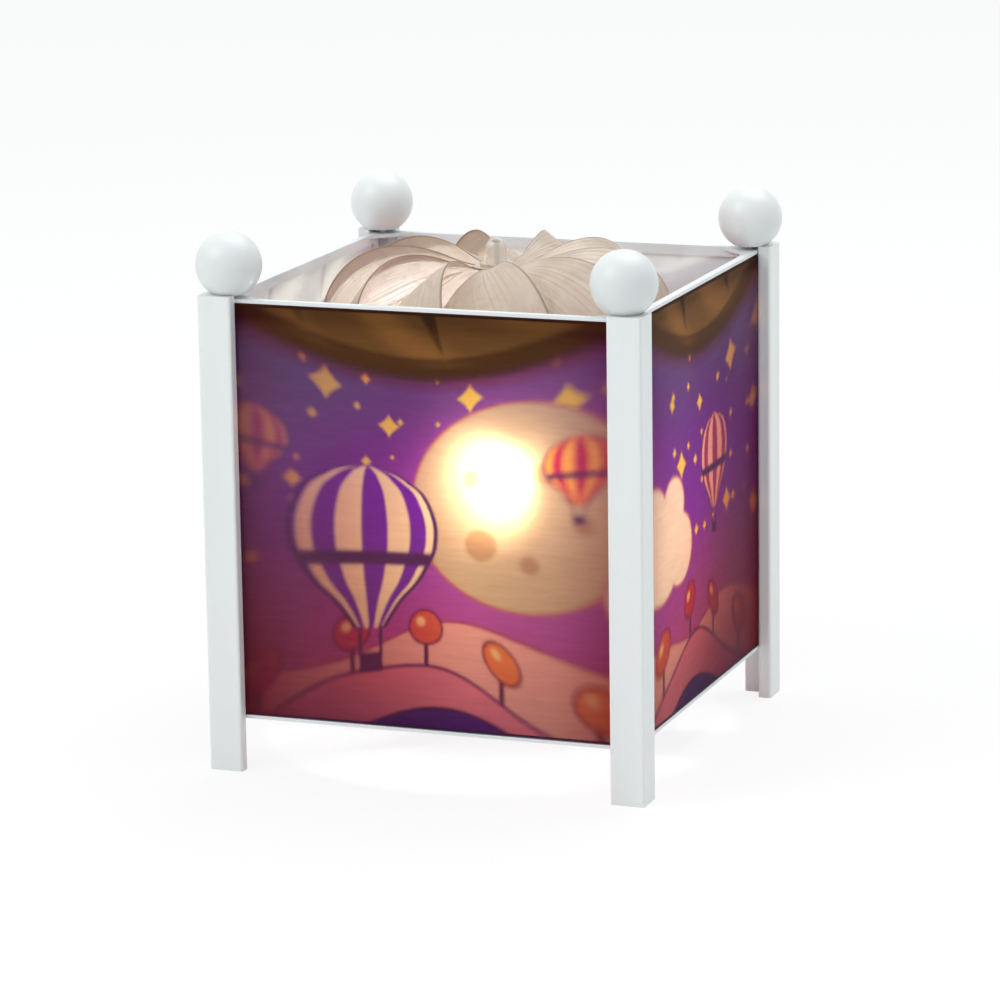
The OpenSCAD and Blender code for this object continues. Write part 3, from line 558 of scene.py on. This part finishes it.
petal_film = cream_film_finish("petal_film", (0.38, 0.42, 0.44, 1), (0.54, 0.58, 0.6, 1), True)
seam_film = cream_film_finish("seam_film", (0.8, 0.78, 0.75, 1), (0.8, 0.78, 0.75, 1))
hoop_film = cream_film_finish("hoop_film", (0.24, 0.25, 0.26, 1), (0.42, 0.45, 0.47, 1))

# %% The frosted panels
frosted_panel, tree, out = new_material("frosted_panel")
position = object_place(tree)
panel_xyz = put(tree, "ShaderNodeSeparateXYZ", {0: moved(tree, "ABSOLUTE", position)})
furthest = sums(tree, "MAXIMUM", panel_xyz.outputs[0], panel_xyz.outputs[1])
panel_out = -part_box("panel_front")[0].y
panel_in = -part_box("panel_front")[1].y
inner_face = sums(tree, "LESS_THAN", furthest, (panel_out + panel_in) / 2)
backfacing = put(tree, "ShaderNodeNewGeometry").outputs["Backfacing"]
white_side = sums(tree, "MULTIPLY", inner_face, sums(tree, "SUBTRACT", 1.0, backfacing))
streaks = put(tree, "ShaderNodeTexNoise", {
    "Vector": put(tree, "ShaderNodeMapping", {"Vector": position, "Scale": (0.12, 0.12, 1)}).outputs[0],
    "Scale": 700.0, "Detail": 4.0, "Roughness": 0.6})
spread_out = sums(tree, "DIVIDE", drum_radius * MM, moved(
    tree, "LENGTH", moved(tree, "MULTIPLY", position, (1, 1, 0)), output=1))
lamp_height = (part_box("bulb_filament")[0].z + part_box("bulb_filament")[1].z) / 2
above_lamp = sums(tree, "SUBTRACT", panel_xyz.outputs[2], lamp_height)
film_height = sums(tree, "MULTIPLY_ADD", above_lamp, spread_out, lamp_height)
film_share = sums(tree, "MULTIPLY_ADD", film_height, 1 / ((drum_high - drum_low) * MM),
                  -drum_low / (drum_high - drum_low))
# The smoky tinge of the outer face is painted light, a dim copy of the colours the lamp throws
# through the film, set by the height of the film behind each place
painted_light_tinge = put(tree, "ShaderNodeValToRGB", {0: film_share})
painted_light_tinge.color_ramp.elements[0].position = 0.0
painted_light_tinge.color_ramp.elements[0].color = paint(40, 12, 60)
painted_light_tinge.color_ramp.elements[1].position = 1.0
painted_light_tinge.color_ramp.elements[1].color = paint(56, 36, 28)
for at, colour in ((0.22, paint(92, 34, 60)), (0.45, paint(86, 44, 66)), (0.7, paint(84, 26, 92)),
                   (0.97, paint(70, 24, 84))):
    painted_light_tinge.color_ramp.elements.new(at).color = colour
# Painted shade: the outer face and the light it passes turn darker and redder toward the side edges, more
# so low down
nearest = sums(tree, "MINIMUM", panel_xyz.outputs[0], panel_xyz.outputs[1])
to_edge = put(tree, "ShaderNodeMapRange", {
    "Value": nearest, "From Min": 0.042, "From Max": 0.074}, interpolation_type="SMOOTHSTEP").outputs[0]
low_down = put(tree, "ShaderNodeMapRange", {
    "Value": panel_xyz.outputs[2], "From Min": 0.135, "From Max": 0.03}).outputs[0]
painted_edge_shade = sums(tree, "MULTIPLY", to_edge, sums(tree, "MULTIPLY_ADD", low_down, 0.3, 0.25))
painted_light_and_shade = blend_colours(tree, painted_edge_shade, painted_light_tinge.outputs[0], paint(104, 6, 22))
face_colour = blend_colours(tree, white_side, painted_light_and_shade, paint(226, 232, 234))
face_rough = sums(tree, "MULTIPLY_ADD", streaks.outputs[0], 0.2, 0.3)
bump = put(tree, "ShaderNodeBump", {
    "Strength": 0.3, "Distance": 0.03 * MM, "Height": streaks.outputs[0]})
panel_face = put(tree, "ShaderNodeBsdfPrincipled", {
    "Base Color": face_colour, "Roughness": face_rough, "Normal": bump.outputs[0],
    "Specular IOR Level": 0.06})
through = put(tree, "ShaderNodeMapRange", {
    "Value": streaks.outputs[0], "From Min": 0.3, "From Max": 0.7,
    "To Min": 0.59, "To Max": 0.67}).outputs[0]
# The light the panel passes takes the same painted edge shade
passed = blend_colours(tree, painted_edge_shade, (1, 1, 1, 1), (0.5, 0.1, 0.13, 1))
# The brown of the hoop's shadow is painted on too
under_hoop = put(tree, "ShaderNodeMapRange", {
    "Value": film_share, "From Min": 0.94, "From Max": 0.99}).outputs[0]
passed = blend_colours(tree, under_hoop, passed, (1, 0.46, 0.14, 1))
passed = moved(tree, "MULTIPLY", passed, put(tree, "ShaderNodeCombineXYZ", {
    0: through, 1: through, 2: through}).outputs[0])
panel_back = put(tree, "ShaderNodeBsdfTranslucent", {"Color": passed})
wide_beam = put(tree, "ShaderNodeBsdfRefraction", {"Color": passed, "Roughness": 1.0, "IOR": 0.8})
side_beam = put(tree, "ShaderNodeBsdfRefraction", {"Color": passed, "Roughness": 1.0, "IOR": 1.2})
beams = put(tree, "ShaderNodeMixShader", {0: 0.64, 1: wide_beam.outputs[0], 2: side_beam.outputs[0]})
scattered = put(tree, "ShaderNodeMixShader", {0: 0.3, 1: panel_back.outputs[0], 2: beams.outputs[0]})
outer_share, inner_share = 0.6, 0.03
panel_mix = put(tree, "ShaderNodeMixShader", {
    0: sums(tree, "MULTIPLY_ADD", inner_face, inner_share - outer_share, outer_share),
    1: panel_face.outputs[0], 2: scattered.outputs[0]})
near_beam = put(tree, "ShaderNodeBsdfRefraction", {"Color": (1, 1, 1, 1), "Roughness": 0.5, "IOR": 0.8})
outer_glow, inner_glow = 0.006, 0.002
glow_mix = put(tree, "ShaderNodeMixShader", {
    0: sums(tree, "MULTIPLY_ADD", inner_face, inner_glow - outer_glow, outer_glow),
    1: panel_mix.outputs[0], 2: near_beam.outputs[0]})
clear_way = put(tree, "ShaderNodeBsdfTransparent", {"Color": (1, 1, 1, 1)})
from_inside_the_sheet = sums(tree, "MULTIPLY",
                             put(tree, "ShaderNodeLightPath").outputs["Is Shadow Ray"], backfacing)
panel_shader = put(tree, "ShaderNodeMixShader", {
    0: from_inside_the_sheet, 1: glow_mix.outputs[0], 2: clear_way.outputs[0]})
tree.links.new(panel_shader.outputs[0], out.inputs["Surface"])

# %% Clear plastic, the bulb's glass and its glowing coil
clear_plastic, tree, out = new_material("clear_plastic")
surface = use_group(tree, fine_surface, {
    "Position": object_place(tree), "Colour": paint(252, 249, 243), "Shade": paint(244, 238, 228),
    "Patch Size": 4 * MM, "Grain Size": 0.8 * MM, "Roughness": 0.1, "Spread": 0.1})
shader = put(tree, "ShaderNodeBsdfPrincipled", {
    "Base Color": surface.outputs["Colour"], "Roughness": surface.outputs["Roughness"],
    "Transmission Weight": 0.7, "IOR": 1.49})
tree.links.new(lets_lamps_through(tree, shader.outputs[0], (0.9, 0.87, 0.8, 1)), out.inputs["Surface"])

bulb_glass, tree, out = new_material("bulb_glass")
surface = use_group(tree, fine_surface, {
    "Position": object_place(tree), "Colour": paint(252, 252, 250), "Shade": paint(248, 248, 246),
    "Patch Size": 12 * MM, "Grain Size": 2 * MM, "Roughness": 0.02, "Spread": 0.03})
shader = put(tree, "ShaderNodeBsdfPrincipled", {
    "Base Color": surface.outputs["Colour"], "Roughness": surface.outputs["Roughness"],
    "Transmission Weight": 1.0, "IOR": 1.5})
tree.links.new(lets_lamps_through(tree, shader.outputs[0], (1, 1, 1, 1)), out.inputs["Surface"])

glowing_coil, tree, out = new_material("glowing_coil")
surface = use_group(tree, fine_surface, {
    "Position": object_place(tree), "Colour": paint(255, 214, 150), "Shade": paint(255, 190, 110),
    "Patch Size": 1 * MM, "Grain Size": 0.2 * MM, "Roughness": 0.5, "Spread": 0.1})
shader = put(tree, "ShaderNodeBsdfPrincipled", {
    "Base Color": surface.outputs["Colour"], "Roughness": surface.outputs["Roughness"],
    "Emission Color": surface.outputs["Colour"], "Emission Strength": 20.0})
tree.links.new(shader.outputs[0], out.inputs["Surface"])

# %% [markdown]
# ## Dressing the CAD pieces
# The exact pieces stay as they are and only take a finish. A short table of name beginnings is
# enough, because the pieces are named for what they are.

# %% Give each CAD node its finish
finishes = {
    "post_screws": drawn_steel, "post_": painted_wood, "ball_screws": drawn_steel,
    "ball_": turned_wood, "top_frame": powder_coat, "bottom_frame": powder_coat,
    "upright_": powder_coat, "panel_": frosted_panel, "bridge_screws": drawn_steel,
    "bridge": zinc_sheet, "cord_grommet": black_rubber, "holder_nipple": lamp_brass,
    "holder_nut": lamp_brass, "holder_core": white_ceramic, "holder_": cream_bakelite,
    "screw_shell": lamp_brass, "centre_contact": lamp_brass, "bulb_cap": nickel_cap,
    "bulb_contact": black_glass, "bulb_glass": bulb_glass, "bulb_stem": bulb_glass,
    "bulb_leads": drawn_steel, "bulb_filament": glowing_coil, "harp_": zinc_sheet,
    "harp": drawn_steel, "needle_stud": lamp_brass, "needle": drawn_steel,
    "drum_film": printed_film, "drum_seam": seam_film, "drum_": hoop_film, "turbine_clamp": clear_plastic,
    "turbine": petal_film, "bearing_cap": clear_plastic, "bearing_cup": nickel_cap,
}
for name, node in nodes.items():
    start = next(key for key in finishes if name.startswith(key))
    node.data.materials.clear()
    node.data.materials.append(finishes[start])
print("dressed", len(nodes), "nodes")

# %% [markdown]
# ## The turbine
# The petals are cut from one sheet of thin film and bent, so that their leading edges stand up
# and their trailing edges dip. Each is a long strip that climbs the drum's wall, arches over and
# runs in to the hub, swept back on the way. One petal starts as a grid in the plane, is bent by
# moving its points, gets its thickness from Solidify, and is copied round.

# %% Bend one petal from a flat grid
petal_count = 10
petal_rows, petal_lanes = 46, 18
film_thick = 0.35
wall_r, wall_low, wall_high = 62.05, 135.0, 138.0
crown_r, hub_r, hub_z = 20.0, 6.0, 168.5
lift, gather, sweep, phase = 10.5, 1.8, 30.0, 8.5
half_least, half_more, root = 180 / petal_count - 0.2, 5.0, 0.06
arch_w, arch_h = wall_r - crown_r, hub_z - wall_high
arch_len = math.pi / 2 * math.sqrt((arch_w ** 2 + arch_h ** 2) / 2)
petal_len = (wall_high - wall_low) + arch_len + (crown_r - hub_r)


def petal_line(s):
    """Radius and height of a petal's middle line, s millimetres up from its foot."""
    if s < wall_high - wall_low:
        return Vector((wall_r, wall_low + s))
    s -= wall_high - wall_low
    if s < arch_len:
        turn = math.pi / 2 * s / arch_len
        return Vector((crown_r + arch_w * math.cos(turn), wall_high + arch_h * math.sin(turn)))
    share = (s - arch_len) / (crown_r - hub_r)
    return Vector((crown_r, hub_z)).lerp(Vector((hub_r, hub_z)), share)


def petal_point(t, lane):
    """A point of the bent petal: t from the drum (0) to the hub (1), lane from -1 to 1 across."""
    s = t * petal_len
    along = petal_line(s + 0.5) - petal_line(s - 0.5)
    normal = Vector((along.y, -along.x)).normalized()
    swell = 0 if t < root else math.sin(math.pi * (t - root) / (1 - root))
    spot = petal_line(s) + normal * lift * swell ** gather * lane
    turn = math.radians(phase - sweep * t + lane * (half_least + half_more * swell))
    return Vector((spot.x * math.cos(turn), spot.x * math.sin(turn), spot.y)) * MM


bpy.ops.object.select_all(action="DESELECT")
bpy.ops.mesh.primitive_grid_add(x_subdivisions=petal_rows, y_subdivisions=petal_lanes, size=2)
petal = bpy.context.object
for vertex in petal.data.vertices:
    vertex.co = petal_point((vertex.co.x + 1) / 2, vertex.co.y)
print("petal is", round(petal_len), "mm long, with", len(petal.data.polygons), "faces")

# %% Give the petal its thickness and copy it round
solid = petal.modifiers.new("thickness", "SOLIDIFY")
solid.thickness = film_thick * MM
solid.offset = 0
bpy.ops.object.modifier_apply(modifier=solid.name)
bpy.ops.object.mode_set(mode="EDIT")
bpy.ops.mesh.select_all(action="SELECT")
bpy.ops.mesh.normals_make_consistent(inside=False)
bpy.ops.object.mode_set(mode="OBJECT")
bpy.ops.object.shade_smooth_by_angle(angle=math.radians(40))

petals = [petal]
for number in range(1, petal_count):
    copy = petal.copy()
    copy.data = petal.data.copy()
    copy.data.transform(Matrix.Rotation(2 * math.pi * number / petal_count, 4, "Z"))
    bpy.context.collection.objects.link(copy)
    petals.append(copy)
for piece in petals:
    piece.select_set(True)
bpy.context.view_layer.objects.active = petal
bpy.ops.object.join()
turbine_petals = bpy.context.object
turbine_petals.name = "turbine_petals"
turbine_petals.data.materials.clear()
turbine_petals.data.materials.append(petal_film)
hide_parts("turbine")
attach(turbine_petals, "rotor")
print("turbine_petals has", len(turbine_petals.data.polygons), "faces")

# %% Roll the band that the petals stand on and cut the disc at the hub
def ring(name, r_out, r_in, low, high, steps):
    """A flat ring of the turbine, spun from its rectangular section."""
    bpy.ops.object.select_all(action="DESELECT")
    bpy.ops.mesh.primitive_plane_add(size=1)
    profile = bpy.context.object
    corners = [(r_in, low), (r_out, low), (r_out, high), (r_in, high)]
    for vertex, (radius, height) in zip(
            sorted(profile.data.vertices, key=lambda v: math.atan2(v.co.y, v.co.x)), corners):
        vertex.co = Vector((radius, 0, height)) * MM
    bpy.ops.object.mode_set(mode="EDIT")
    bpy.ops.mesh.select_all(action="SELECT")
    bpy.ops.mesh.spin(steps=steps, angle=2 * math.pi, center=(0, 0, 0), axis=(0, 0, 1))
    bpy.ops.mesh.select_all(action="SELECT")
    bpy.ops.mesh.remove_doubles(threshold=1e-6)
    bpy.ops.mesh.delete_loose()
    bpy.ops.mesh.select_all(action="SELECT")
    bpy.ops.mesh.normals_make_consistent(inside=False)
    bpy.ops.object.mode_set(mode="OBJECT")
    bpy.ops.object.shade_smooth_by_angle(angle=math.radians(40))
    profile.name = name
    profile.data.materials.append(hoop_film)
    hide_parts("turbine")
    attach(profile, "rotor")
    return profile


band = ring("turbine_band", r_out=62.35, r_in=61.75, low=134.3, high=139.3, steps=120)
hub_disc = ring("turbine_hub_disc", r_out=8.0, r_in=3.45, low=168.1, high=168.9, steps=64)
print("band has", len(band.data.polygons), "faces, hub disc", len(hub_disc.data.polygons))

# %% [markdown]
# ## The floor and the room's light
# The lamp stands on a plain white floor under soft light. The floor is white to the camera, as a
# photographer's sweep is, and keeps a faint shadow where the posts stand.

# %% Lay the floor
bpy.ops.object.select_all(action="DESELECT")
bpy.ops.mesh.primitive_plane_add(size=16)
floor = bpy.context.object
floor.name = "studio_floor"
floor_finish, tree, out = new_material("studio_floor")
matt = put(tree, "ShaderNodeBsdfDiffuse", {"Color": paint(245, 246, 246)})
white = put(tree, "ShaderNodeEmission", {"Color": (1, 1, 1, 1), "Strength": 1.0})
path = put(tree, "ShaderNodeLightPath")
seen = sums(tree, "MAXIMUM", path.outputs["Is Camera Ray"], sums(
    tree, "MAXIMUM", path.outputs["Is Glossy Ray"], path.outputs["Is Transmission Ray"]))
floor_mix = put(tree, "ShaderNodeMixShader", {
    0: sums(tree, "MULTIPLY", seen, 0.85), 1: matt.outputs[0], 2: white.outputs[0]})
tree.links.new(floor_mix.outputs[0], out.inputs["Surface"])
floor.data.materials.append(floor_finish)

# %% Light the room
world = bpy.data.worlds.new("studio")
bpy.context.scene.world = world
world.use_nodes = True
tree = world.node_tree
tree.nodes.clear()
soft_room = put(tree, "ShaderNodeBackground", {"Color": (0.94, 0.97, 1.0, 1), "Strength": 0.68})
white_room = put(tree, "ShaderNodeBackground", {"Color": (1, 1, 1, 1), "Strength": 1.0})
path = put(tree, "ShaderNodeLightPath")
seen = sums(tree, "MAXIMUM", path.outputs["Is Camera Ray"], sums(
    tree, "MAXIMUM", path.outputs["Is Glossy Ray"], path.outputs["Is Transmission Ray"]))
room = put(tree, "ShaderNodeMixShader", {0: seen, 1: soft_room.outputs[0], 2: white_room.outputs[0]})
put(tree, "ShaderNodeOutputWorld", {"Surface": room.outputs[0]})


def softbox(name, place, size, watts, colour):
    """A square area lamp at place, turned to the lamp's middle."""
    bpy.ops.object.light_add(type="AREA", location=place)
    box = bpy.context.object
    box.name = name
    box.data.size = size
    box.data.energy = watts
    box.data.color = colour
    box.rotation_euler = (Vector((0, 0, 0.09)) - Vector(place)).to_track_quat("-Z", "Y").to_euler()


softbox("key_softbox", (-0.9, -1.1, 1.3), 1.0, 11, (1.0, 0.99, 0.97))
softbox("top_softbox", (0.2, 0.5, 1.5), 1.2, 12, (0.97, 0.99, 1.0))

# %% [markdown]
# ## The lamp's own light
# A point lamp about as large as the coil sits in its middle. It is small, so the picture is
# sharp where the drum is close to the panel and soft in the corners, as on the real lamp. One
# bulb bright enough for the panels would wash out the turbine above it. Light linking names what
# a lamp may light, so the bulb is two lamps here: a bright one for the panels only, and a dimmer,
# paler one for everything else. A real bulb is one light, so this is a liberty taken for looks.

# %% Switch the bulb on
def bulb_light(name, energy, colour, panels_only):
    """A small point lamp at the coil, for the panels only or for all else."""
    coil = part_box("bulb_filament")
    bpy.ops.object.light_add(type="POINT", location=(coil[0] + coil[1]) / 2)
    light = bpy.context.object
    light.name = name
    light.data.energy = energy
    light.data.color = colour
    light.data.shadow_soft_size = 3.2 * MM
    light.visible_camera = False
    linked = bpy.data.collections.new(name + "_receivers")
    for node_name, node in nodes.items():
        if node_name.startswith("panel_"):
            linked.objects.link(node)
    for member in linked.collection_objects:
        member.light_linking.link_state = "INCLUDE" if panels_only else "EXCLUDE"
    light.light_linking.receiver_collection = linked


bulb_light("bulb_light_on_panels", 0.92, (1.0, 0.84, 0.64), True)
bulb_light("bulb_light_on_the_rest", 0.2, (0.84, 0.97, 1.0), False)
print("the bulb is lit")
